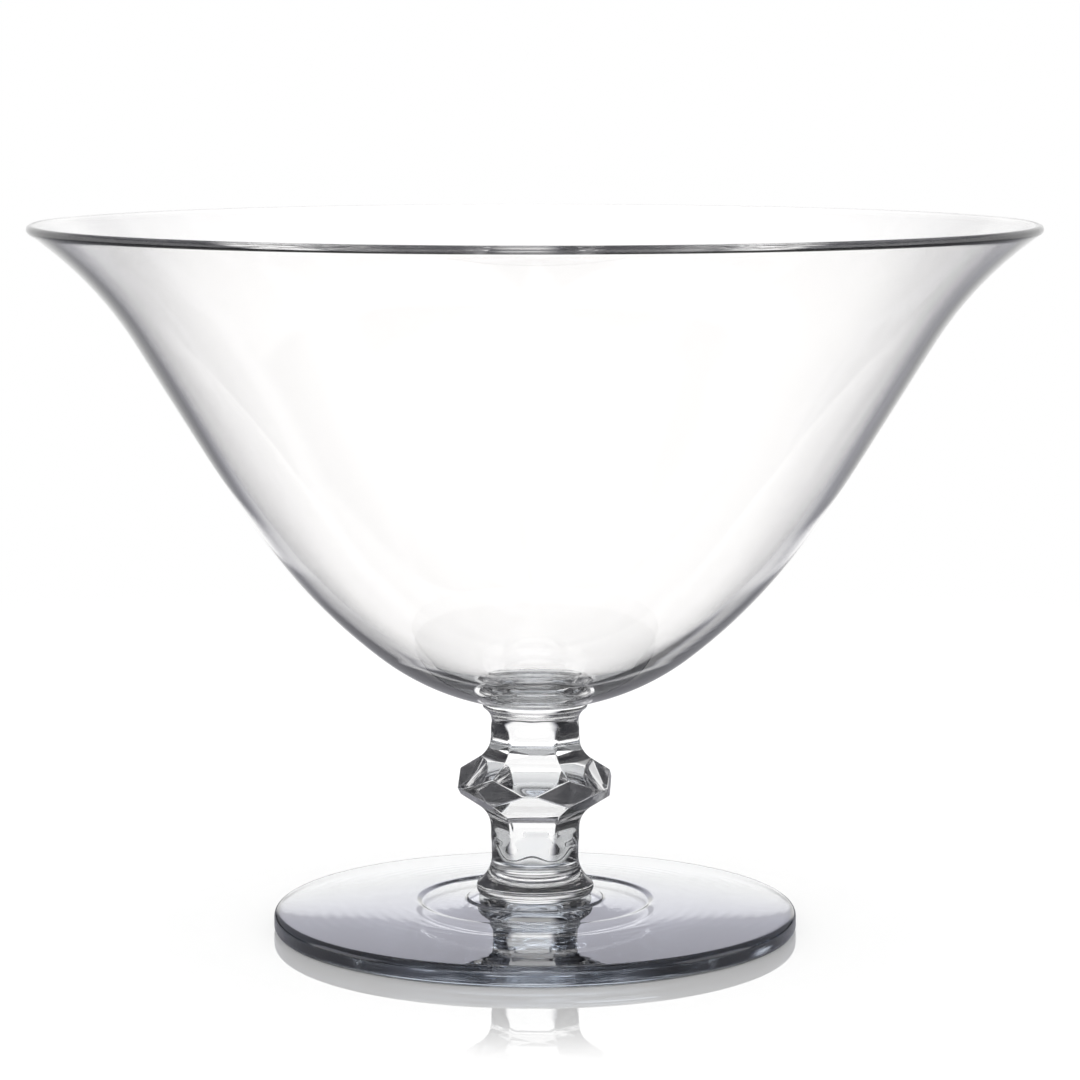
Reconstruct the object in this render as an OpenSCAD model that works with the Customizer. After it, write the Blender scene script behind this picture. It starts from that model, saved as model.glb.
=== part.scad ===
// Footed trifle bowl of clear glass. The axis of the glass is +Z and the foot stands on z = 0.
// A bowl with a flared lip, a stem with a six-sided cut knop and a round foot are three
// gathers of glass, which meet at flat round seats where they are fused while hot.

/* [Foot] */
// Diameter over the rounded edge
foot_d = 132; // [120:1:150]
// Height of the edge
foot_edge_h = 5.1; // [4.2:0.1:6.2]
// Radius of the edge's upper corner
foot_edge_round = 1.8; // [1:0.1:2.4]
// Radius of the edge's lower corner
foot_toe_round = 1.2; // [0.6:0.1:1.6]
// Width of the flat ring that stands on the table
stand_w = 6; // [4:0.5:10]
// Height of the hollow under the middle of the foot
foot_hollow_h = 0.3; // [0.2:0.1:2.5]
// Diameter of the low crest around the dished middle
crest_d = 60; // [58:1:70]
// Height of that crest
crest_h = 7; // [6.6:0.1:7.3]
// Slope of the top where it leaves the crest, before it curves down to the edge
crest_slope = 1; // [0:0.25:1.5]
// Diameter of the groove inside the crest
groove_d = 56.8; // [50:0.2:57.6]
// Depth of that groove below the crest
groove_depth = 0.5; // [0.2:0.1:1]
// Diameter of the button that carries the stem
button_d = 34.4; // [32:0.2:40]
// Height of the foot where it meets the button
button_foot_h = 7.1; // [6.8:0.1:7.4]
// Radius of the button's edge
button_round = 0.5; // [0.3:0.1:0.7]
// Height of the seat on the button
seat_h = 8.3; // [8:0.1:10]
// Diameter of that seat
seat_d = 28.6; // [27:0.2:30]

/* [Stem] */
// Diameter of the round neck above and below the knop
neck_d = 21.9; // [21.2:0.1:24]
// Diameter of the collar under the bowl
collar_d = 26.4; // [25:0.2:29]
// Radius of that collar's edge
collar_round = 0.9; // [0.5:0.1:1.3]
// Radius of the sweep from the neck to that collar
collar_sweep = 4; // [3:0.1:6]
// Diameter of the bead on the foot
bead_d = 29.6; // [28.6:0.2:32]
// Radius of the bead's edge
bead_round = 1.9; // [1.2:0.1:2.2]
// Radius of the sweep from the neck to the bead
bead_sweep = 8; // [6:0.1:10]
// Length of round neck between the bead's sweep and the cut flats
lower_neck_len = 3.4; // [0:0.1:15]
// Length of round neck between the cut flats and the collar's sweep
upper_neck_len = 0.2; // [0:0.1:15]

/* [Cut knop] */
// Width of the knop across two opposite lozenges
knop_across = 37.8; // [34:0.2:42]
// Width of the knop across two opposite points of its girdle
girdle_across = 42.2; // [38:0.2:46]
// Width of the neck across two opposite cut flats
flats_across = 19.8; // [18:0.1:20.4]
// Slope of the flaring flats, measured from the axis
flare_angle = 54.5; // [50:0.5:60]
// Radius of the wheel that cuts between flare and neck
wheel_r = 6; // [4.5:0.1:7]
// Length of the straight flat along the neck
flat_len = 1.4; // [0.4:0.1:2.5]

/* [Bowl] */
// Diameter over the rim
rim_d = 250; // [240:1:275]
// Thickness of the glass at the rim
rim_wall = 2.3; // [1.8:0.1:3.2]
// Thickness of the glass over the stem
base_wall = 6; // [4.5:0.1:8]
// Power by which the wall thins from the base to the rim
wall_thinning = 1.6; // [1.2:0.1:2.4]
// Radius of the rounded bottom
bottom_r = 64; // [58:1:72]
// Radius of the side above the bottom
side_r = 140; // [120:1:160]
// Radius of the nearly straight upper side
upper_r = 300; // [260:5:360]
// Radius of the outward turn of the lip
lip_r = 92; // [80:1:110]
// Slope of the bowl where the bottom ends
bottom_slope = 38; // [34:0.5:42]
// Slope of the bowl where the side ends
side_slope = 53; // [50:0.5:55]
// Steepest slope, on the upper side
upper_slope = 58.5; // [57:0.5:62]
// Slope of the lip at the rim
lip_slope = 35; // [30:0.5:42]

/* [Hidden] */

glass_tint = "lightcyan";
glass_alpha = 0.45;
sides = 6;
side_angle = 360 / sides;
arc_steps = 10;
$fn = 96;

foot_r = foot_d / 2;
stand_r = foot_r - foot_toe_round;
hollow_r = stand_r - stand_w;
hollow_sphere_r = (pow(hollow_r, 2) + pow(foot_hollow_h, 2)) / (2 * foot_hollow_h);
hollow_angle = asin(hollow_r / hollow_sphere_r);
foot_shoulder = [foot_r - foot_edge_round, foot_edge_h - foot_edge_round];
crest = [crest_d / 2, crest_h];
top_normal = [sin(crest_slope), cos(crest_slope)];
top_span = crest - foot_shoulder;
top_r = (pow(norm(top_span), 2) - pow(foot_edge_round, 2)) / (2 * (top_span * top_normal - foot_edge_round));
top_centre = crest - top_r * top_normal;
edge_slope = atan2(foot_shoulder[0] - top_centre[0], foot_shoulder[1] - top_centre[1]);
groove = [groove_d / 2, crest_h - groove_depth];
button_edge = [button_d / 2 - button_round, button_foot_h];

neck_r = neck_d / 2;
collar_r = collar_d / 2;
bead_r = bead_d / 2;

knop_corner_r = knop_across / 2 / cos(side_angle / 2);
flats_r = flats_across / 2;
girdle_r = girdle_across / 2;
wheel_centre_r = flats_r + wheel_r;
wheel_h = (wheel_r - (wheel_centre_r - girdle_r) * cos(flare_angle)) / sin(flare_angle);
wheel_w = 2 * knop_corner_r;
flare_len = (wheel_h - wheel_r * sin(flare_angle)) / cos(flare_angle);
ridge_r = flats_r / cos(side_angle / 2);
knop_blank_h = wheel_h - wheel_r / 4;
run_out_h = wheel_h + flat_len + wheel_r / 2;
blank_waist_r = ridge_r + (ridge_r - neck_r);

// Height from a rounded edge's centre to the end of the sweep that runs off it
function sweep_rise(edge_r, edge_round, sweep) =
    sqrt(pow(sweep + edge_round, 2) - pow(neck_r + sweep - (edge_r - edge_round), 2));

girdle_h = bead_round + sweep_rise(bead_r, bead_round, bead_sweep) + lower_neck_len + run_out_h;
stem_h = girdle_h + run_out_h + upper_neck_len
    + sweep_rise(collar_r, collar_round, collar_sweep) + collar_round;
pad_z = seat_h + stem_h;

rim_r = rim_d / 2;
pad_slope = asin(collar_r / bottom_r);
pole_z = pad_z - bottom_r * (1 - cos(pad_slope));
lip_end_r = rim_r - rim_wall / 2 * (1 - sin(lip_slope));

// Points along an arc about a centre, by angle from the first axis
function arc(centre, radius, from, to) =
    [for (i = [0 : arc_steps]) let (a = from + (to - from) * i / arc_steps)
        centre + radius * [cos(a), sin(a)]];

// A station on the bowl's outside is [distance from the axis, height, slope of the wall].
// An arc of stations that curves in towards the axis, from the slope of its first station
function curve_in(start, radius, to) =
    [for (i = [0 : arc_steps]) let (a = start[2] + (to - start[2]) * i / arc_steps)
        [start[0] + radius * (sin(a) - sin(start[2])),
         start[1] + radius * (cos(start[2]) - cos(a)), a]];

// An arc of stations that turns outwards to the lip
function curve_out(start, radius, to) =
    [for (i = [0 : arc_steps]) let (a = start[2] + (to - start[2]) * i / arc_steps)
        [start[0] + radius * (sin(start[2]) - sin(a)),
         start[1] + radius * (cos(a) - cos(start[2])), a]];

function last(list) = list[len(list) - 1];
function tail(list) = [for (i = [1 : len(list) - 1]) list[i]];
function reversed(list) = [for (i = [len(list) - 1 : -1 : 0]) list[i]];

// Stations from a slope on the bottom up to the rim
bottom_end = [bottom_r * sin(bottom_slope), pole_z + bottom_r * (1 - cos(bottom_slope)), bottom_slope];
side = curve_in(bottom_end, side_r, side_slope);
upper = curve_in(last(side), upper_r, upper_slope);
lip_reach = lip_r * (sin(upper_slope) - sin(lip_slope));
straight_run = lip_end_r - lip_reach - last(upper)[0];
lip_start = last(upper) + [straight_run, straight_run * tan(upper_slope), 0];
lip = curve_out(lip_start, lip_r, lip_slope);
above_bottom = concat(tail(side), tail(upper), lip);

function outside_from(slope) =
    concat(curve_in([bottom_r * sin(slope), pole_z + bottom_r * (1 - cos(slope)), slope],
        bottom_r, bottom_slope), above_bottom);

function wall_at(r) = rim_wall + (base_wall - rim_wall) * pow(1 - r / rim_r, wall_thinning);

// A station moved square to the wall, into the bowl
function inward(s, depth) = [s[0] - depth * sin(s[2]), s[1] + depth * cos(s[2])];

// Half outline of a swept end of the stem, from the middle of its flat face to the neck:
// a rounded edge and the hollow sweep that it runs into
function swept_end(edge_r, edge_round, sweep) =
    let (edge = [edge_r - edge_round, edge_round],
        sweep_r = neck_r + sweep,
        rise = sweep_rise(edge_r, edge_round, sweep),
        lean = atan2(rise, sweep_r - edge[0]))
    concat([[0, 0]], arc(edge, edge_round, -90, lean),
        arc([sweep_r, edge_round + rise], sweep, 180 + lean, 180));

bead_end = swept_end(bead_r, bead_round, bead_sweep);
collar_end = [for (p = reversed(swept_end(collar_r, collar_round, collar_sweep))) [p[0], stem_h - p[1]]];

stem_outline = concat(bead_end,
    [[neck_r, girdle_h - run_out_h], [blank_waist_r, girdle_h - knop_blank_h],
     [blank_waist_r, girdle_h + knop_blank_h], [neck_r, girdle_h + run_out_h]],
    collar_end);

foot_outline = concat(
    arc([0, foot_hollow_h - hollow_sphere_r], hollow_sphere_r, 90, 90 - hollow_angle),
    arc([stand_r, foot_toe_round], foot_toe_round, -90, 0),
    arc(foot_shoulder, foot_edge_round, 0, 90 - edge_slope),
    arc(top_centre, top_r, 90 - edge_slope, 90 - crest_slope),
    [groove],
    arc(button_edge, button_round, 0, 90),
    [[seat_d / 2, seat_h], [0, seat_h]]);

bowl_outside = outside_from(pad_slope);
bowl_inside = [for (s = outside_from(0)) inward(s, wall_at(s[0]))];
rim_centre = inward(last(bowl_outside), rim_wall / 2);
bowl_outline = concat([[0, pad_z]], [for (s = bowl_outside) [s[0], s[1]]],
    arc(rim_centre, rim_wall / 2, lip_slope - 90, lip_slope + 90), reversed(bowl_inside));

// The space that one pass of the cutting wheel takes away, above the girdle and on the +X side:
// the flaring flat, the hollow behind it and the flat along the neck
module wheel_pass() {
    for (z = [wheel_h, wheel_h + flat_len])
        translate([wheel_centre_r, wheel_w / 2, z])
            rotate([90, 0, 0])
                cylinder(h = wheel_w, r = wheel_r);
    translate([flats_r, -wheel_w / 2, wheel_h])
        cube([2 * wheel_r, wheel_w, flat_len]);
    translate([girdle_r, 0, 0])
        rotate([0, -flare_angle, 0])
            translate([0, -wheel_w / 2, -flare_len])
                cube([flare_len, wheel_w, 2 * flare_len]);
}

module bowl() {
    color(glass_tint, glass_alpha)
        rotate_extrude() polygon(bowl_outline);
}

module stem() {
    color(glass_tint, glass_alpha)
        translate([0, 0, seat_h])
            difference() {
                union() {
                    rotate_extrude() polygon(stem_outline);
                    translate([0, 0, girdle_h - knop_blank_h])
                        rotate([0, 0, side_angle / 2])
                            cylinder(h = 2 * knop_blank_h, r = knop_corner_r, $fn = sides);
                }
                for (i = [0 : sides - 1], half = [0, 1])
                    translate([0, 0, girdle_h])
                        rotate([0, 0, (i + 1 / 2) * side_angle])
                            mirror([0, 0, half])
                                wheel_pass();
            }
}

module foot() {
    color(glass_tint, glass_alpha)
        rotate_extrude() polygon(foot_outline);
}

bowl();
stem();
foot();
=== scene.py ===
"""Looks for the footed trifle bowl: clear glass, a cut knop, a glossy white table and a bright tent."""

import math

import bpy
import numpy as np
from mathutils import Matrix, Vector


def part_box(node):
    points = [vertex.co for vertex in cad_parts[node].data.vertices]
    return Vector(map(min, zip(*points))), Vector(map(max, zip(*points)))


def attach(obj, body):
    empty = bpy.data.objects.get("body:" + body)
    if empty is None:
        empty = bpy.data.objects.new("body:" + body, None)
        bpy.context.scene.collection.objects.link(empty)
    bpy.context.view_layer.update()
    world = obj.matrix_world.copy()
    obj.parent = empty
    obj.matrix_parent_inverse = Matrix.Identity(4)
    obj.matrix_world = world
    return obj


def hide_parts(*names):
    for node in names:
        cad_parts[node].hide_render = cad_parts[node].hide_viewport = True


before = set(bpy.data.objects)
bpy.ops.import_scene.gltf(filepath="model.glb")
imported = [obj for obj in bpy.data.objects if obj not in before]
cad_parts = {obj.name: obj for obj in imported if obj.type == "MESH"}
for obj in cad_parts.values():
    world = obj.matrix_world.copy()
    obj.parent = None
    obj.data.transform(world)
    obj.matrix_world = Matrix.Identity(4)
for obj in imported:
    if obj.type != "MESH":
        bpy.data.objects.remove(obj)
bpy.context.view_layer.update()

MM = 0.001

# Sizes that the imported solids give, from the highest corners of their boxes
RIM_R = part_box("bowl")[1][0]
PAD_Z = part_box("stem")[1][2]
SEAT_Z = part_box("foot")[1][2]

# Bowl, as in the solids. An arc's slope is that of the wall where the arc ends.
RIM_WALL = 2.3 * MM
BASE_WALL = 6.0 * MM
WALL_THINNING = 1.6
BOTTOM_R = 64.0 * MM
SIDE_R = 140.0 * MM
UPPER_R = 300.0 * MM
LIP_R = 92.0 * MM
BOTTOM_SLOPE, SIDE_SLOPE, UPPER_SLOPE, LIP_SLOPE = np.radians([38.0, 53.0, 58.5, 35.0])
PAD_LEDGE = 0.1 * MM

# Stem, as in the solids. The flats are cut by the rim of a wheel. Its axis lies beside the neck,
# at WHEEL_H above or below the girdle. UNCUT_R is a radius that no cut reaches.
NECK_R = 10.95 * MM
COLLAR_R, COLLAR_ROUND, COLLAR_SWEEP = 13.2 * MM, 0.9 * MM, 4.0 * MM
BEAD_R, BEAD_ROUND, BEAD_SWEEP = 14.8 * MM, 1.9 * MM, 8.0 * MM
LOZENGE_R = 18.9 * MM
GIRDLE_R = 21.1 * MM
FLATS_R = 9.9 * MM
WHEEL_R = 6.0 * MM
FLAT_LEN = 0.6 * MM
RUN_OUT_R = 9.0 * MM
RUN_OUT_LEN = 4.4 * MM
LOWER_NECK = 3.4 * MM
FLARE = math.radians(54.5)
SIDES = 6
HALF_SECTOR = math.pi / SIDES
WHEEL_AXIS_R = FLATS_R + WHEEL_R
WHEEL_H = (WHEEL_R - (WHEEL_AXIS_R - GIRDLE_R) * math.cos(FLARE)) / math.sin(FLARE)
UNCUT_R = 2 * GIRDLE_R
EDGE_POLISH = 0.32 * MM
NECK_POLISH = 0.8 * MM

# Foot, as in the solids
FOOT_R = 66.0 * MM
EDGE_H, EDGE_ROUND, TOE_ROUND = 5.1 * MM, 1.8 * MM, 1.2 * MM
STAND_W = 6.0 * MM
HOLLOW_H = 0.3 * MM
CREST_R, CREST_H = 30.0 * MM, 7.0 * MM
CREST_SLOPE = math.radians(1.0)
GROOVE_R, GROOVE_DEPTH = 28.4 * MM, 0.5 * MM
BUTTON_R, BUTTON_ROUND, BUTTON_FOOT_H = 17.2 * MM, 0.5 * MM, 7.1 * MM
SEAT_R = 14.3 * MM

# Fineness of the meshes: rows along the outlines, and columns round the axis. BESIDE_EDGE is how
# far the rows beside a polished edge lie from it. A crease keeps between two shares of half a
# sector, and the columns gather beside it by a power.
TURNED_COLUMNS = 288
BOTTOM_ROWS, SIDE_ROWS, STRAIGHT_ROWS, LIP_ROWS, RIM_ROWS = 40, 28, 14, 28, 18
HOLLOW_ROWS, TOE_ROWS, EDGE_ROWS, TOP_ROWS = 26, 14, 20, 40
GROOVE_ROWS, RISE_ROWS, BUTTON_ROWS = 12, 16, 10
END_ROUND_ROWS, END_SWEEP_ROWS = 30, 26
LOZENGE_ROWS, HOLLOW_FLAT_ROWS, RUN_OUT_ROWS = 9, 30, 38
BESIDE_EDGE = 0.06 * MM * np.arange(1, 7) ** 1.6
LEAST_ROW_GAP = 0.01 * MM
FLAT_COLUMNS, CREASE_COLUMNS = 15, 13
COLUMN_GATHER = 2.2
CREASE_FROM, CREASE_TO = 0.05, 0.96

# Glass. The roughness varies between two shares of its own value. WAVE_TURN is the angle in
# radians that a wave texture of scale 1 turns through in a metre.
CLEAR_INDEX = 1.52
CLOUD_DETAIL = 1.0
POLISH_LOW, POLISH_HIGH = 0.6, 1.4
RING_WANDER = 1.5
WAVE_TURN = 20.0
DEPTH_BLUE = (0.35, 0.62, 0.98)
BOWL_TINT = (0.995, 0.989, 0.985)
BOWL_CLOUDS = 14.0
BOWL_WAVES = 0.05 * MM
STEM_TINT = (0.990, 0.990, 0.990)
STEM_ROUGHNESS = 0.04
STEM_CLOUDS = 120.0
FOOT_TINT = (0.985, 0.992, 0.995)
FOOT_ROUGHNESS = 0.02
FOOT_CLOUDS = 60.0
FOOT_RINGS, FOOT_RING_GAP = 0.004 * MM, 3.0 * MM
FOOT_SHEEN = 0.7
FOOT_DEPTH_TINT = 2.5

# Camera. The stem's axis lies at column AXIS_PX of the photograph.
CAMERA_REACH = 0.914
CAMERA_H = 0.215
CAMERA_TURN = math.radians(3.7)
CAMERA_DIP = math.radians(7.27)
FOCAL_PX = 3680.0
PICTURE_PX = 1080.0
AXIS_PX = 535.0
SENSOR_MM = 36.0

# Tent. A light of 1 is white. A height is that of a direction: 1 straight up, 0 level. A depth
# is the same below the level. A bearing is the cosine of BEARINGS times the turn: 1 ahead,
# behind and to the sides, and -1 on the diagonals. Pairs are where a share starts and is whole.
BEARINGS = 4.0
CLUTTER_STRETCH = (2.0, 2.0, 14.0)
CLUTTER_SCALE, CLUTTER_DETAIL = 1.0, 2.0
GLINTS, SPARKS = (0.52, 0.62), (0.58, 0.64)

# Light for the blown bowl. WALL is what light mirrored inside the wall meets, THROUGH what comes
# straight through, and BELT, CEILING and OUTSIDE are for what the outside mirrors.
WALL_DARK, WALL_GLINT = 0.03, 0.22
STRIP_BEARING, STRIP_HEIGHT, STRIP_LIGHT = (0.5, 0.95), (0.12, 0.25), 0.45
RIM_BEARING, RIM_LIGHT = (0.55, 0.95), 1.3
FLOOR_DEPTH, FLOOR_LIGHT = (0.24, 0.42), 0.75
FLOOR_GAP_BEARING, FLOOR_GAP_DEPTH = (0.2, 0.6), (0.46, 0.52)
HIGH_HEIGHT, HIGH_LIGHT = (0.45, 0.60), 1.0
THROUGH_HEIGHT, THROUGH_LIGHT, THROUGH_DARK = (0.40, 0.62), 1.18, 0.20
BELT_DEPTH, BELT_END_DEPTH = (0.12, 0.36), (0.56, 0.72)
CEILING_HEIGHT = (0.30, 0.50)
OUTSIDE_LIGHT, OUTSIDE_GREY = 1.0, 0.40

# Light for the cut stem and the pressed foot: white panels in a dark room
PANEL_BEARING, PANEL_HEIGHT, PANEL_LIGHT = (-0.2, 0.5), (0.42, 0.60), 1.05
DEEP_PANEL_SHARE = 0.06
ROOM_DARK, SPARK_LIGHT = 0.01, 0.70
CROWN_BEARING, CROWN_HEIGHT, CROWN_LIGHT = (-0.3, 0.2), (0.55, 0.70), 1.2
ROOM_HEIGHT, ROOM_GREY = (0.0, 0.12), 0.25

# Tone of the tent: its darks are cool, and so is what the foot mirrors from above
TONE_LIGHT = (0.0, 0.9)
COOL_HEIGHT = (0.16, 0.28)
COOL_TINT = (0.94, 0.94, 1.06)

# Table. A reach is a distance from the axis. A lean is 0 seen square on and 1 seen edge on.
TABLE_R = 0.7
TABLE_SIDES = 96
TABLE_DROP = 0.05 * MM
TABLE_WHITE, GLOSS_TINT = (0.98, 0.98, 0.98), (0.99, 0.99, 0.99)
TABLE_GLOW = 0.18
GLOSS_POWER, GLOSS_SHARE = 3.0, (0.15, 1.0)
GLOSS_REACH, FADE_REACH = (0.085, 0.14), (0.35, 0.62)
ACRYLIC_ROUGHNESS = 0.02
FOOT_REACH = (0.022, 0.034)
STEEP_LEAN, PAINTED_GLOW_LEAN = (0.25, 0.55), (0.60, 0.74)
LEAST_WHITE = 0.05
# Strength of a painted glow on the table under the foot: an emission, not a lamp
PAINTED_GLOW_UNDER_FOOT = 0.5


def arc(centre, radius, start, end, count):
    """Points on an arc: centre plus radius times the cosine and sine of evenly spaced angles."""
    a = np.linspace(start, end, count)
    return np.column_stack([centre[0] + radius * np.cos(a), centre[1] + radius * np.sin(a)])


def mesh_piece(name, points, quads, fans, slots):
    """An object from points, four-sided and three-sided faces.

    slots gives each face's material number.
    """
    faces = [tuple(q) for q in quads.tolist()] + [tuple(t) for t in fans.tolist()]
    mesh = bpy.data.meshes.new(name)
    mesh.from_pydata(points.tolist(), [], faces)
    mesh.polygons.foreach_set("material_index", slots)
    mesh.polygons.foreach_set("use_smooth", np.ones(len(faces), dtype=bool))
    mesh.update()
    piece = bpy.data.objects.new(name, mesh)
    bpy.context.scene.collection.objects.link(piece)
    return piece


def rings_piece(name, radius, height, angle, low_pole, high_pole, fused_ends):
    """A closed surface of rings: point (i, j) is radius[i, j] out at angle[i, j], height[i, j] up.

    Rows run along the outline and columns once round the axis. A fan from each pole on the
    axis closes the first and the last row. The "low" or "high" fan takes material 1 where
    fused_ends names it: it is the seat where two gathers of glass are one.
    """
    rows, columns = radius.shape
    points = np.stack([radius * np.cos(angle), radius * np.sin(angle), height], axis=-1)
    points = np.vstack([points.reshape(-1, 3), [[0, 0, low_pole], [0, 0, high_pole]]])
    i, j = np.meshgrid(np.arange(rows - 1), np.arange(columns), indexing="ij")
    k = (j + 1) % columns
    quads = np.stack([i * columns + j, i * columns + k,
                      (i + 1) * columns + k, (i + 1) * columns + j], axis=-1).reshape(-1, 4)
    ring = np.arange(columns)
    after = (ring + 1) % columns
    first, last = rows * columns, rows * columns + 1
    top = (rows - 1) * columns
    low_fan = np.column_stack([np.full(columns, first), after, ring])
    high_fan = np.column_stack([np.full(columns, last), top + ring, top + after])
    slots = np.repeat([0, "low" in fused_ends, "high" in fused_ends], [len(quads), columns, columns])
    return mesh_piece(name, points, quads, np.vstack([low_fan, high_fan]), slots.astype(np.int32))


def turned_piece(name, outline, low_pole, high_pole, fused_end):
    """A surface of revolution: each row of the outline, (radius, height), is one ring."""
    turn = np.linspace(0, 2 * math.pi, TURNED_COLUMNS, endpoint=False)
    radius, angle = np.meshgrid(outline[:, 0], turn, indexing="ij")
    height = np.repeat(outline[:, 1:2], TURNED_COLUMNS, axis=1)
    return rings_piece(name, radius, height, angle, low_pole, high_pole, (fused_end,))


def bowl_stations(start_slope):
    """Outside of the bowl as rows of (radius, height, slope), from start_slope at the bottom.

    Three arcs grow steeper up to the upper side, a straight run follows, and the lip bends out.
    An arc of radius R from slope s to slope a adds R (sin a - sin s) to the radius and
    R (cos s - cos a) to the height, and the lip's arc does the same the other way round.
    """
    pad_slope = math.asin(COLLAR_R / BOTTOM_R)
    pole = PAD_Z - BOTTOM_R * (1 - math.cos(pad_slope))
    a = np.linspace(start_slope, BOTTOM_SLOPE, BOTTOM_ROWS)
    rows = [np.column_stack([BOTTOM_R * np.sin(a), pole + BOTTOM_R * (1 - np.cos(a)), a])]
    for radius, end in ((SIDE_R, SIDE_SLOPE), (UPPER_R, UPPER_SLOPE)):
        r, z, slope = rows[-1][-1]
        a = np.linspace(slope, end, SIDE_ROWS)[1:]
        rows.append(np.column_stack([r + radius * (np.sin(a) - np.sin(slope)),
                                     z + radius * (np.cos(slope) - np.cos(a)), a]))
    r, z, slope = rows[-1][-1]
    lip_end = RIM_R - RIM_WALL / 2 * (1 - math.sin(LIP_SLOPE))
    run = lip_end - LIP_R * (math.sin(UPPER_SLOPE) - math.sin(LIP_SLOPE)) - r
    t = np.linspace(0, 1, STRAIGHT_ROWS)[1:]
    rows.append(np.column_stack([r + run * t, z + run * t * math.tan(slope),
                                 np.full(len(t), slope)]))
    r, z, slope = rows[-1][-1]
    a = np.linspace(slope, LIP_SLOPE, LIP_ROWS)[1:]
    rows.append(np.column_stack([r + LIP_R * (np.sin(slope) - np.sin(a)),
                                 z + LIP_R * (np.cos(a) - np.cos(slope)), a]))
    return np.vstack(rows)


def inward(stations, depth):
    """Stations moved square to the wall by depth, into the bowl, as (radius, height)."""
    return np.column_stack([stations[:, 0] - depth * np.sin(stations[:, 2]),
                            stations[:, 1] + depth * np.cos(stations[:, 2])])


def make_bowl():
    """The bowl: pad, outside, rounded rim and inside.

    At radius r the wall is RIM_WALL + (BASE_WALL - RIM_WALL) (1 - r / RIM_R) ^ WALL_THINNING.
    """
    outside = bowl_stations(math.asin(COLLAR_R / BOTTOM_R))
    inside = bowl_stations(0.0)
    wall = RIM_WALL + (BASE_WALL - RIM_WALL) * (1 - inside[:, 0] / RIM_R) ** WALL_THINNING
    inner = inward(inside, wall)
    rim = inward(outside[-1:], RIM_WALL / 2)[0]
    cap = arc(rim, RIM_WALL / 2, LIP_SLOPE - math.pi / 2, LIP_SLOPE + math.pi / 2, RIM_ROWS)
    seat = np.array([[COLLAR_R - COLLAR_ROUND, PAD_Z], [COLLAR_R - PAD_LEDGE, PAD_Z]])
    outline = np.vstack([seat, outside[:, :2], cap[1:-1], inner[:0:-1]])
    return turned_piece("clear_bowl", outline, PAD_Z, inner[0, 1], "low")


def make_foot():
    """The foot: a slight hollow, the standing ring, a rounded edge, a curved top, a groove, the button.

    The hollow is part of a ball. The top is one arc that touches the edge's rounding and
    leaves the crest at CREST_SLOPE. The groove's wall falls as 3 t^2 - 2 t^3.
    """
    stand_r = FOOT_R - TOE_ROUND
    hollow_r = stand_r - STAND_W
    ball = (hollow_r ** 2 + HOLLOW_H ** 2) / (2 * HOLLOW_H)
    r = np.linspace(0, hollow_r, HOLLOW_ROWS)[1:]
    under = np.column_stack([r, HOLLOW_H - ball + np.sqrt(ball ** 2 - r ** 2)])
    toe = arc((stand_r, TOE_ROUND), TOE_ROUND, -math.pi / 2, 0, TOE_ROWS)
    shoulder = np.array([FOOT_R - EDGE_ROUND, EDGE_H - EDGE_ROUND])
    crest = np.array([CREST_R, CREST_H])
    normal = np.array([math.sin(CREST_SLOPE), math.cos(CREST_SLOPE)])
    span = crest - shoulder
    top_r = (span @ span - EDGE_ROUND ** 2) / (2 * (span @ normal - EDGE_ROUND))
    centre = crest - top_r * normal
    rise = math.atan2(shoulder[0] - centre[0], shoulder[1] - centre[1])
    edge = arc(shoulder, EDGE_ROUND, 0, math.pi / 2 - rise, EDGE_ROWS)
    top = arc(centre, top_r, math.pi / 2 - rise, math.pi / 2 - CREST_SLOPE, TOP_ROWS)[1:]
    share = np.linspace(0, 1, GROOVE_ROWS)[1:, None]
    groove = np.array([GROOVE_R, CREST_H - GROOVE_DEPTH])
    wall = crest + (groove - crest) * np.hstack([share, 3 * share ** 2 - 2 * share ** 3])
    button = arc((BUTTON_R - BUTTON_ROUND, BUTTON_FOOT_H), BUTTON_ROUND, 0, math.pi / 2, BUTTON_ROWS)
    rise_to_button = groove + (button[0] - groove) * np.linspace(0, 1, RISE_ROWS)[1:-1, None]
    seat = np.array([[SEAT_R, SEAT_Z], [BEAD_R - BEAD_ROUND, SEAT_Z]])
    outline = np.vstack([under, toe, edge, top, wall, rise_to_button, button, seat])
    return turned_piece("clear_foot", outline, HOLLOW_H, SEAT_Z, "high")


def cut_apothem(h):
    """Distance from the axis to a cut flat at height h from the girdle.

    From the girdle out it is the straight flare, the hollow that the wheel leaves, a short
    length of flat, and an arc where the cut runs out.
    """
    flare_top = WHEEL_H - WHEEL_R * math.sin(FLARE)
    hollow = WHEEL_AXIS_R - np.sqrt(np.maximum(WHEEL_R ** 2 - (WHEEL_H - h) ** 2, 0))
    beyond = np.maximum(h - WHEEL_H - FLAT_LEN, 0)
    run_out = FLATS_R + RUN_OUT_R - np.sqrt(np.maximum(RUN_OUT_R ** 2 - beyond ** 2, 0))
    above_flare = np.where(h < WHEEL_H, hollow, run_out)
    return np.where(h < flare_top, GIRDLE_R - h * math.tan(FLARE), above_flare)


def soft_min(a, b, k):
    """The smaller of a and b, rounded over a width k where they cross."""
    near = np.maximum(k - np.abs(a - b), 0) / k
    return np.minimum(a, b) - near ** 2 * k / 4


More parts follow.
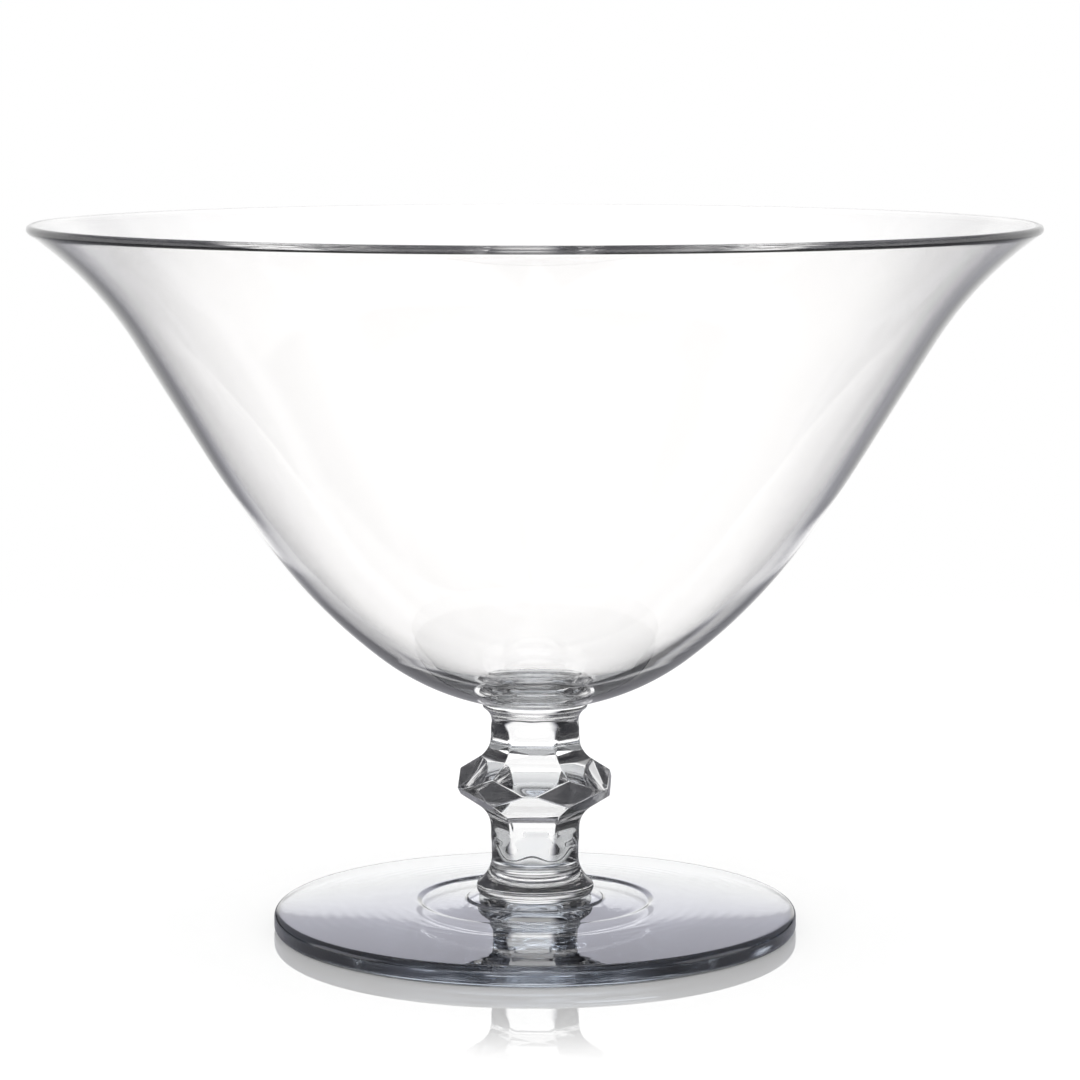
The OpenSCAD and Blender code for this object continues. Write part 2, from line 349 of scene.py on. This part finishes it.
def swept_end(edge_r, edge_round, sweep):
    """Half outline of an end of the stem from its flat face: a rounded edge, a sweep to the neck."""
    edge = (edge_r - edge_round, edge_round)
    sweep_r = NECK_R + sweep
    rise = math.sqrt((sweep + edge_round) ** 2 - (sweep_r - edge[0]) ** 2)
    lean = math.atan2(rise, sweep_r - edge[0])
    inner = arc((sweep_r, edge_round + rise), sweep, math.pi + lean, math.pi, END_SWEEP_ROWS)
    return np.vstack([arc(edge, edge_round, -math.pi / 2, lean, END_ROUND_ROWS), inner[1:]])


def make_stem():
    """The stem: a round blank, six flats cut above and below the girdle, six lozenges between them.

    At each height the radius is the least of the blank's and of each flat's apothem over the
    cosine of the angle from that flat, with a small rounding where two of them cross. Rows and
    columns gather at the creases, so each polished edge has points along it.
    """
    run_out = WHEEL_H + RUN_OUT_LEN
    waist_h = WHEEL_H - WHEEL_R / 4
    ridge_r = FLATS_R / math.cos(HALF_SECTOR)
    waist_r = 2 * ridge_r - NECK_R
    bead = swept_end(BEAD_R, BEAD_ROUND, BEAD_SWEEP)
    collar = swept_end(COLLAR_R, COLLAR_ROUND, COLLAR_SWEEP)[::-1]
    girdle = bead[-1, 1] + LOWER_NECK + run_out
    stem_h = PAD_Z - SEAT_Z
    tip_h = (GIRDLE_R - LOZENGE_R * math.cos(HALF_SECTOR)) / math.tan(FLARE)
    upper = np.unique(np.concatenate([
        [0], BESIDE_EDGE, tip_h - BESIDE_EDGE, [tip_h], tip_h + BESIDE_EDGE,
        np.linspace(BESIDE_EDGE[-1], tip_h - BESIDE_EDGE[-1], LOZENGE_ROWS),
        np.linspace(tip_h, waist_h, HOLLOW_FLAT_ROWS), np.linspace(waist_h, run_out, RUN_OUT_ROWS)]))
    upper = upper[np.insert(np.diff(upper) > LEAST_ROW_GAP, 0, True)]
    knop = np.concatenate([-upper[:0:-1], upper])
    blank = np.interp(np.abs(knop), [waist_h, run_out], [waist_r, NECK_R])
    blank = np.where(np.abs(knop) < waist_h, UNCUT_R, blank)
    height = np.concatenate([bead[:, 1], girdle + knop[1:-1], stem_h - collar[:, 1]])
    blank = np.concatenate([bead[:, 0], blank[1:-1], collar[:, 0]])
    above = np.sqrt((height - girdle) ** 2 + (EDGE_POLISH / 2) ** 2)
    apothem = np.where(above < run_out + RUN_OUT_R / 2, cut_apothem(above), UNCUT_R)

    lozenge = np.arctan((LOZENGE_R - apothem * math.cos(HALF_SECTOR))
                        / (apothem * math.sin(HALF_SECTOR)))
    rounded = np.arccos(np.clip(apothem / blank, 0, 1))
    crease = np.where(blank >= UNCUT_R, lozenge, rounded)
    crease = np.clip(crease, CREASE_FROM * HALF_SECTOR, CREASE_TO * HALF_SECTOR)
    crease = np.where(apothem > blank, HALF_SECTOR / 2, crease)[:, None]
    t = np.linspace(0, 1, FLAT_COLUMNS)[None, :-1]
    u = np.linspace(0, 1, CREASE_COLUMNS)[None, :]
    half = np.hstack([crease * (1 - (1 - t) ** COLUMN_GATHER),
                      crease + (HALF_SECTOR - crease) * u ** COLUMN_GATHER])
    sector = np.hstack([-half[:, :0:-1], half[:, :-1]])
    turn = np.arange(SIDES) * 2 * HALF_SECTOR + HALF_SECTOR
    angle = (sector[:, None, :] + turn[None, :, None]).reshape(len(height), -1)
    local = np.tile(sector, (1, SIDES))

    flat = apothem[:, None] / np.cos(local)
    beside = apothem[:, None] / np.cos(2 * HALF_SECTOR - np.abs(local))
    face = LOZENGE_R / np.cos(HALF_SECTOR - np.abs(local))
    polish = np.interp(above, [waist_h - WHEEL_R / 2, waist_h + WHEEL_R / 2],
                       [EDGE_POLISH, NECK_POLISH])[:, None]
    radius = soft_min(flat, beside, polish)
    radius = soft_min(radius, face, EDGE_POLISH)
    radius = soft_min(radius, np.repeat(blank[:, None], radius.shape[1], axis=1), polish)
    up = np.repeat(height[:, None], radius.shape[1], axis=1) + SEAT_Z
    return rings_piece("cut_stem", radius, up, angle, SEAT_Z, PAD_Z, ("low", "high"))


def feed(tree, socket, value):
    """Sets an input socket to a number, or links another socket to it."""
    if isinstance(value, (int, float)):
        socket.default_value = value
    else:
        tree.links.new(value, socket)


def math_node(tree, kind, a, b=None, clamp=False):
    """A Math node of one or two numbers or sockets."""
    node = tree.nodes.new("ShaderNodeMath")
    node.operation = kind
    node.use_clamp = clamp
    feed(tree, node.inputs[0], a)
    if b is not None:
        feed(tree, node.inputs[1], b)
    return node.outputs[0]


def product(tree, first, *others):
    """The product of numbers or sockets."""
    for other in others:
        first = math_node(tree, "MULTIPLY", first, other)
    return first


def opposite(tree, share):
    """1 minus a share."""
    return math_node(tree, "SUBTRACT", 1.0, share)


def rising(tree, value, span):
    """A smooth step from 0 at the start of a span to 1 at its end."""
    node = tree.nodes.new("ShaderNodeMapRange")
    node.interpolation_type = "SMOOTHSTEP"
    node.inputs["From Min"].default_value, node.inputs["From Max"].default_value = span
    feed(tree, node.inputs["Value"], value)
    return node.outputs["Result"]


def falling(tree, value, span):
    """A smooth step from 1 at the start of a span to 0 at its end."""
    return opposite(tree, rising(tree, value, span))


def between(tree, share, low, high):
    """low + share * (high - low), where each is a number or a socket."""
    node = tree.nodes.new("ShaderNodeMix")
    feed(tree, node.inputs["Factor"], share)
    feed(tree, node.inputs["A"], low)
    feed(tree, node.inputs["B"], high)
    return node.outputs["Result"]


def mixed(tree, share, first, second):
    """A Mix Shader: share 0 is the first shader and 1 the second."""
    node = tree.nodes.new("ShaderNodeMixShader")
    feed(tree, node.inputs["Fac"], share)
    tree.links.new(first, node.inputs[1])
    tree.links.new(second, node.inputs[2])
    return node.outputs["Shader"]


def added(tree, first, second):
    """An Add Shader."""
    node = tree.nodes.new("ShaderNodeAddShader")
    tree.links.new(first, node.inputs[0])
    tree.links.new(second, node.inputs[1])
    return node.outputs["Shader"]


def noise(tree, place, scale, detail):
    """A Noise Texture's share at a place."""
    node = tree.nodes.new("ShaderNodeTexNoise")
    node.inputs["Scale"].default_value = scale
    node.inputs["Detail"].default_value = detail
    tree.links.new(place, node.inputs["Vector"])
    return node.outputs["Fac"]


def emission(tree, light):
    """A white Emission shader."""
    node = tree.nodes.new("ShaderNodeEmission")
    node.inputs["Strength"].default_value = light
    return node.outputs["Emission"]


def gloss(tree, roughness):
    """A nearly white Glossy shader."""
    node = tree.nodes.new("ShaderNodeBsdfGlossy")
    node.inputs["Color"].default_value = (*GLOSS_TINT, 1)
    node.inputs["Roughness"].default_value = roughness
    return node.outputs["BSDF"]


def new_material(name):
    """A material made of nodes, with its node tree."""
    material = bpy.data.materials.new(name)
    material.use_nodes = True
    return material, material.node_tree


def clear_glass(name, tint, roughness, cloud_scale, wave_height=0.0, ring_gap=0.0, sheen=0.0,
                depth_tint=0.0):
    """Polished clear glass whose polish varies in slow clouds.

    A wave height gives it faint relief as bump: the slow waves of hot working, or with a ring
    gap the turned rings of a pressed foot. A depth tint makes it faintly blue where light runs
    a long way through it.
    """
    material, tree = new_material(name)
    shader = tree.nodes["Principled BSDF"]
    shader.inputs["Base Color"].default_value = (*tint, 1)
    shader.inputs["Roughness"].default_value = roughness
    shader.inputs["IOR"].default_value = CLEAR_INDEX
    shader.inputs["Transmission Weight"].default_value = 1.0
    shader.inputs["Coat Weight"].default_value = sheen
    shader.inputs["Coat Roughness"].default_value = roughness
    place = tree.nodes.new("ShaderNodeTexCoord").outputs["Object"]
    clouds = noise(tree, place, cloud_scale, CLOUD_DETAIL)
    if roughness:
        polish = between(tree, clouds, POLISH_LOW * roughness, POLISH_HIGH * roughness)
        tree.links.new(polish, shader.inputs["Roughness"])
    relief = clouds
    if ring_gap:
        rings = tree.nodes.new("ShaderNodeTexWave")
        rings.wave_type = "RINGS"
        rings.rings_direction = "Z"
        rings.inputs["Scale"].default_value = 2 * math.pi / (WAVE_TURN * ring_gap)
        rings.inputs["Distortion"].default_value = RING_WANDER
        rings.inputs["Detail"].default_value = CLOUD_DETAIL
        tree.links.new(place, rings.inputs["Vector"])
        relief = rings.outputs["Fac"]
    if wave_height:
        bump = tree.nodes.new("ShaderNodeBump")
        bump.inputs["Strength"].default_value = 1.0
        bump.inputs["Distance"].default_value = wave_height
        tree.links.new(relief, bump.inputs["Height"])
        tree.links.new(bump.outputs["Normal"], shader.inputs["Normal"])
    if depth_tint:
        body = tree.nodes.new("ShaderNodeVolumeAbsorption")
        body.inputs["Color"].default_value = (*DEPTH_BLUE, 1)
        body.inputs["Density"].default_value = depth_tint
        tree.links.new(body.outputs["Volume"], tree.nodes["Material Output"].inputs["Volume"])
    return material


def fused_seat():
    """The seat inside the glass where two gathers are fused: light passes as if it weren't there."""
    material, tree = new_material("fused_seat")
    tree.nodes.remove(tree.nodes["Principled BSDF"])
    clear = tree.nodes.new("ShaderNodeBsdfTransparent")
    tree.links.new(clear.outputs["BSDF"], tree.nodes["Material Output"].inputs["Surface"])
    return material


def camera():
    """The camera at the photograph's place, aimed so that the axis falls on its column."""
    data = bpy.data.cameras.new("camera")
    data.sensor_width = SENSOR_MM
    data.lens = FOCAL_PX / PICTURE_PX * SENSOR_MM
    eye = bpy.data.objects.new("camera", data)
    eye.location = (CAMERA_REACH * math.sin(CAMERA_TURN), -CAMERA_REACH * math.cos(CAMERA_TURN),
                    CAMERA_H)
    aside = math.atan((PICTURE_PX / 2 - AXIS_PX) / FOCAL_PX)
    eye.rotation_euler = (math.pi / 2 - CAMERA_DIP, 0, CAMERA_TURN - aside)
    bpy.context.scene.collection.objects.link(eye)
    bpy.context.scene.camera = eye


def mirrored_over(tree, path, count):
    """1 for light that was mirrored more than count times."""
    return math_node(tree, "GREATER_THAN", path["Glossy Depth"], count + 0.5)


def blown_light(tree, path, up, bearing, clutter, passed):
    """What the blown bowl sees of the tent.

    Its outside mirrors white, but grey overhead and in a belt below the level. Light that comes
    straight through is white, and dark overhead. Light mirrored inside the wall comes from
    a dark tent with faint glints, grey strips ahead and aside, a lit floor that stays dark there
    where it lies lowest, and white high up. What runs on inside the rim meets a bright front.
    """
    down = math_node(tree, "MULTIPLY", up, -1.0)
    guided = mirrored_over(tree, path, 9)
    dark = between(tree, rising(tree, clutter, GLINTS), WALL_DARK, WALL_GLINT)
    strip = product(tree, rising(tree, bearing, STRIP_BEARING), rising(tree, up, STRIP_HEIGHT))
    inside = between(tree, strip, dark, STRIP_LIGHT)
    front = product(tree, guided, rising(tree, bearing, RIM_BEARING))
    inside = between(tree, front, inside, RIM_LIGHT)
    gap = product(tree, rising(tree, bearing, FLOOR_GAP_BEARING), rising(tree, down, FLOOR_GAP_DEPTH))
    floor = between(tree, gap, FLOOR_LIGHT, dark)
    inside = between(tree, rising(tree, down, FLOOR_DEPTH), inside, floor)
    high = product(tree, math_node(tree, "SUBTRACT", mirrored_over(tree, path, 1), guided),
                   rising(tree, up, HIGH_HEIGHT))
    inside = between(tree, high, inside, HIGH_LIGHT)
    through = between(tree, rising(tree, up, THROUGH_HEIGHT), THROUGH_LIGHT, THROUGH_DARK)
    belt = product(tree, rising(tree, down, BELT_DEPTH), falling(tree, down, BELT_END_DEPTH))
    grey = math_node(tree, "MAXIMUM", belt, rising(tree, up, CEILING_HEIGHT))
    outside = between(tree, grey, OUTSIDE_LIGHT, OUTSIDE_GREY)
    turned_back = math_node(tree, "MINIMUM", path["Glossy Depth"], 1.0)
    return between(tree, passed, outside, between(tree, turned_back, through, inside))


def cut_light(tree, path, up, bearing, clutter, passed):
    """What the cut stem and the pressed foot see of the tent.

    White panels stand ahead, behind and to the sides in a dark room, and fade for light that
    was mirrored more than once. Light mirrored two or three times also meets small sparks and
    a white crown above the panels. The outside of the glass mirrors a grey room.
    """
    deep = mirrored_over(tree, path, 1)
    sparkling = math_node(tree, "SUBTRACT", deep, mirrored_over(tree, path, 3))
    panels = product(tree, rising(tree, bearing, PANEL_BEARING),
                     falling(tree, math_node(tree, "ABSOLUTE", up), PANEL_HEIGHT),
                     between(tree, deep, 1.0, DEEP_PANEL_SHARE))
    sparks = product(tree, sparkling, rising(tree, clutter, SPARKS))
    room = between(tree, sparks, ROOM_DARK, SPARK_LIGHT)
    crown = product(tree, sparkling, rising(tree, bearing, CROWN_BEARING),
                    rising(tree, up, CROWN_HEIGHT))
    room = between(tree, crown, room, CROWN_LIGHT)
    outside = between(tree, rising(tree, up, ROOM_HEIGHT), ROOM_DARK, ROOM_GREY)
    room = between(tree, passed, outside, room)
    return between(tree, panels, room, PANEL_LIGHT)


def bright_tent():
    """The world: even white for the camera and for matt surfaces, and a tent for the glass.

    The bowl's polish is perfect, so Cycles calls its rays singular. The polish of the cut stem
    and the pressed foot is a trace less sharp, so their rays aren't, and they see other panels.
    """
    world = bpy.data.worlds.new("bright_tent")
    bpy.context.scene.world = world
    world.use_nodes = True
    world.cycles.sampling_method = "NONE"
    tree = world.node_tree
    where = tree.nodes.new("ShaderNodeTexCoord").outputs["Generated"]
    axes = tree.nodes.new("ShaderNodeSeparateXYZ")
    tree.links.new(where, axes.inputs[0])
    up = axes.outputs["Z"]
    turn = math_node(tree, "ARCTAN2", axes.outputs["X"], axes.outputs["Y"])
    bearing = math_node(tree, "COSINE", product(tree, turn, BEARINGS))
    stretched = tree.nodes.new("ShaderNodeMapping")
    stretched.inputs["Scale"].default_value = CLUTTER_STRETCH
    tree.links.new(where, stretched.inputs["Vector"])
    clutter = noise(tree, stretched.outputs["Vector"], CLUTTER_SCALE, CLUTTER_DETAIL)

    path = tree.nodes.new("ShaderNodeLightPath").outputs
    passed = math_node(tree, "MINIMUM", path["Transmission Depth"], 1.0)
    blown = blown_light(tree, path, up, bearing, clutter, passed)
    cut = cut_light(tree, path, up, bearing, clutter, passed)
    seen = between(tree, path["Is Singular Ray"], cut, blown)
    plain = math_node(tree, "ADD", path["Is Camera Ray"], path["Diffuse Depth"], True)
    light = between(tree, plain, seen, 1.0)

    outside = opposite(tree, math_node(tree, "MAXIMUM", passed, plain))
    outside = math_node(tree, "SUBTRACT", outside, path["Is Singular Ray"], True)
    cool = product(tree, outside, rising(tree, up, COOL_HEIGHT))
    tone = tree.nodes.new("ShaderNodeMix")
    tone.data_type = "RGBA"
    share, dark_tone, light_tone = tone.inputs[0], tone.inputs[6], tone.inputs[7]
    tree.links.new(product(tree, rising(tree, light, TONE_LIGHT), opposite(tree, cool)), share)
    dark_tone.default_value = (*COOL_TINT, 1)
    light_tone.default_value = (1, 1, 1, 1)
    background = tree.nodes["Background"]
    tree.links.new(tone.outputs[2], background.inputs["Color"])
    tree.links.new(light, background.inputs["Strength"])


def glossy_white():
    """The table's white, which ends in the white round it.

    The camera sees it matt, and glossy near the glass, the more so the flatter it looks. Light
    through the blown bowl passes it. Light down through the stem and the foot meets polished
    acrylic under the glass. Round the button that is matt white where the light comes steeply
    after few mirrorings. Where the light comes obliquely straight through, it gets a painted
    glow: an emission added to the matt white of the table, not a lamp behind it.
    """
    material, tree = new_material("glossy_white")
    tree.nodes.remove(tree.nodes["Principled BSDF"])
    path = tree.nodes.new("ShaderNodeLightPath").outputs
    length = tree.nodes.new("ShaderNodeVectorMath")
    length.operation = "LENGTH"
    tree.links.new(tree.nodes.new("ShaderNodeTexCoord").outputs["Object"], length.inputs[0])
    reach = length.outputs["Value"]
    lean = tree.nodes.new("ShaderNodeLayerWeight").outputs["Facing"]
    clear = tree.nodes.new("ShaderNodeBsdfTransparent").outputs["BSDF"]
    diffuse = tree.nodes.new("ShaderNodeBsdfDiffuse")
    diffuse.inputs["Color"].default_value = (*TABLE_WHITE, 1)
    matt = diffuse.outputs["BSDF"]

    flatness = math_node(tree, "POWER", lean, GLOSS_POWER)
    share = product(tree, between(tree, flatness, *GLOSS_SHARE), falling(tree, reach, GLOSS_REACH))
    seen = mixed(tree, share, added(tree, matt, emission(tree, TABLE_GLOW)), gloss(tree, 0.0))

    under_foot = rising(tree, reach, FOOT_REACH)
    steep = product(tree, falling(tree, lean, STEEP_LEAN),
                    opposite(tree, mirrored_over(tree, path, 4)), under_foot)
    # Painted glow: light that comes obliquely straight through the stem or the foot finds the table
    # under the foot glowing with an added emission
    painted_glow_share = product(tree, falling(tree, lean, PAINTED_GLOW_LEAN),
                    opposite(tree, mirrored_over(tree, path, 0)), under_foot)
    under = mixed(tree, math_node(tree, "MAXIMUM", steep, LEAST_WHITE),
                  gloss(tree, ACRYLIC_ROUGHNESS), matt)
    under = mixed(tree, painted_glow_share, under, added(tree, matt, emission(tree, PAINTED_GLOW_UNDER_FOOT)))
    diffused = math_node(tree, "GREATER_THAN", path["Diffuse Depth"], 0.5)
    under = mixed(tree, diffused, under, matt)

    through = mixed(tree, path["Is Singular Ray"], under, clear)
    surface = mixed(tree, path["Is Camera Ray"], through, seen)
    surface = mixed(tree, rising(tree, reach, FADE_REACH), surface, clear)
    tree.links.new(surface, tree.nodes["Material Output"].inputs["Surface"])
    return material


def white_table():
    """A round table top, a hair below the foot so that the two don't share a plane."""
    turn = np.linspace(0, 2 * math.pi, TABLE_SIDES, endpoint=False)
    points = np.column_stack([TABLE_R * np.cos(turn), TABLE_R * np.sin(turn),
                              np.full(TABLE_SIDES, -TABLE_DROP)])
    mesh = bpy.data.meshes.new("table_top")
    mesh.from_pydata(points.tolist(), [], [tuple(range(TABLE_SIDES))])
    mesh.materials.append(glossy_white())
    table = bpy.data.objects.new("table_top", mesh)
    bpy.context.scene.collection.objects.link(table)


camera()
bright_tent()
white_table()

bowl_glass = clear_glass("bowl_glass", BOWL_TINT, 0.0, BOWL_CLOUDS, wave_height=BOWL_WAVES)
stem_glass = clear_glass("stem_glass", STEM_TINT, STEM_ROUGHNESS, STEM_CLOUDS)
foot_glass = clear_glass("foot_glass", FOOT_TINT, FOOT_ROUGHNESS, FOOT_CLOUDS, FOOT_RINGS,
                         FOOT_RING_GAP, FOOT_SHEEN, FOOT_DEPTH_TINT)
seat_glass = fused_seat()
for piece, node, glass in (
    (make_bowl(), "bowl", bowl_glass),
    (make_stem(), "stem", stem_glass),
    (make_foot(), "foot", foot_glass),
):
    piece.data.materials.append(glass)
    piece.data.materials.append(seat_glass)
    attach(piece, "root")
    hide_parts(node)

# Light may be mirrored many times inside the foot and the rim before it comes out
scene = bpy.context.scene
scene.view_settings.view_transform = "Standard"
scene.cycles.max_bounces = 64
scene.cycles.transmission_bounces = 32
scene.cycles.glossy_bounces = 64
scene.cycles.transparent_max_bounces = 32
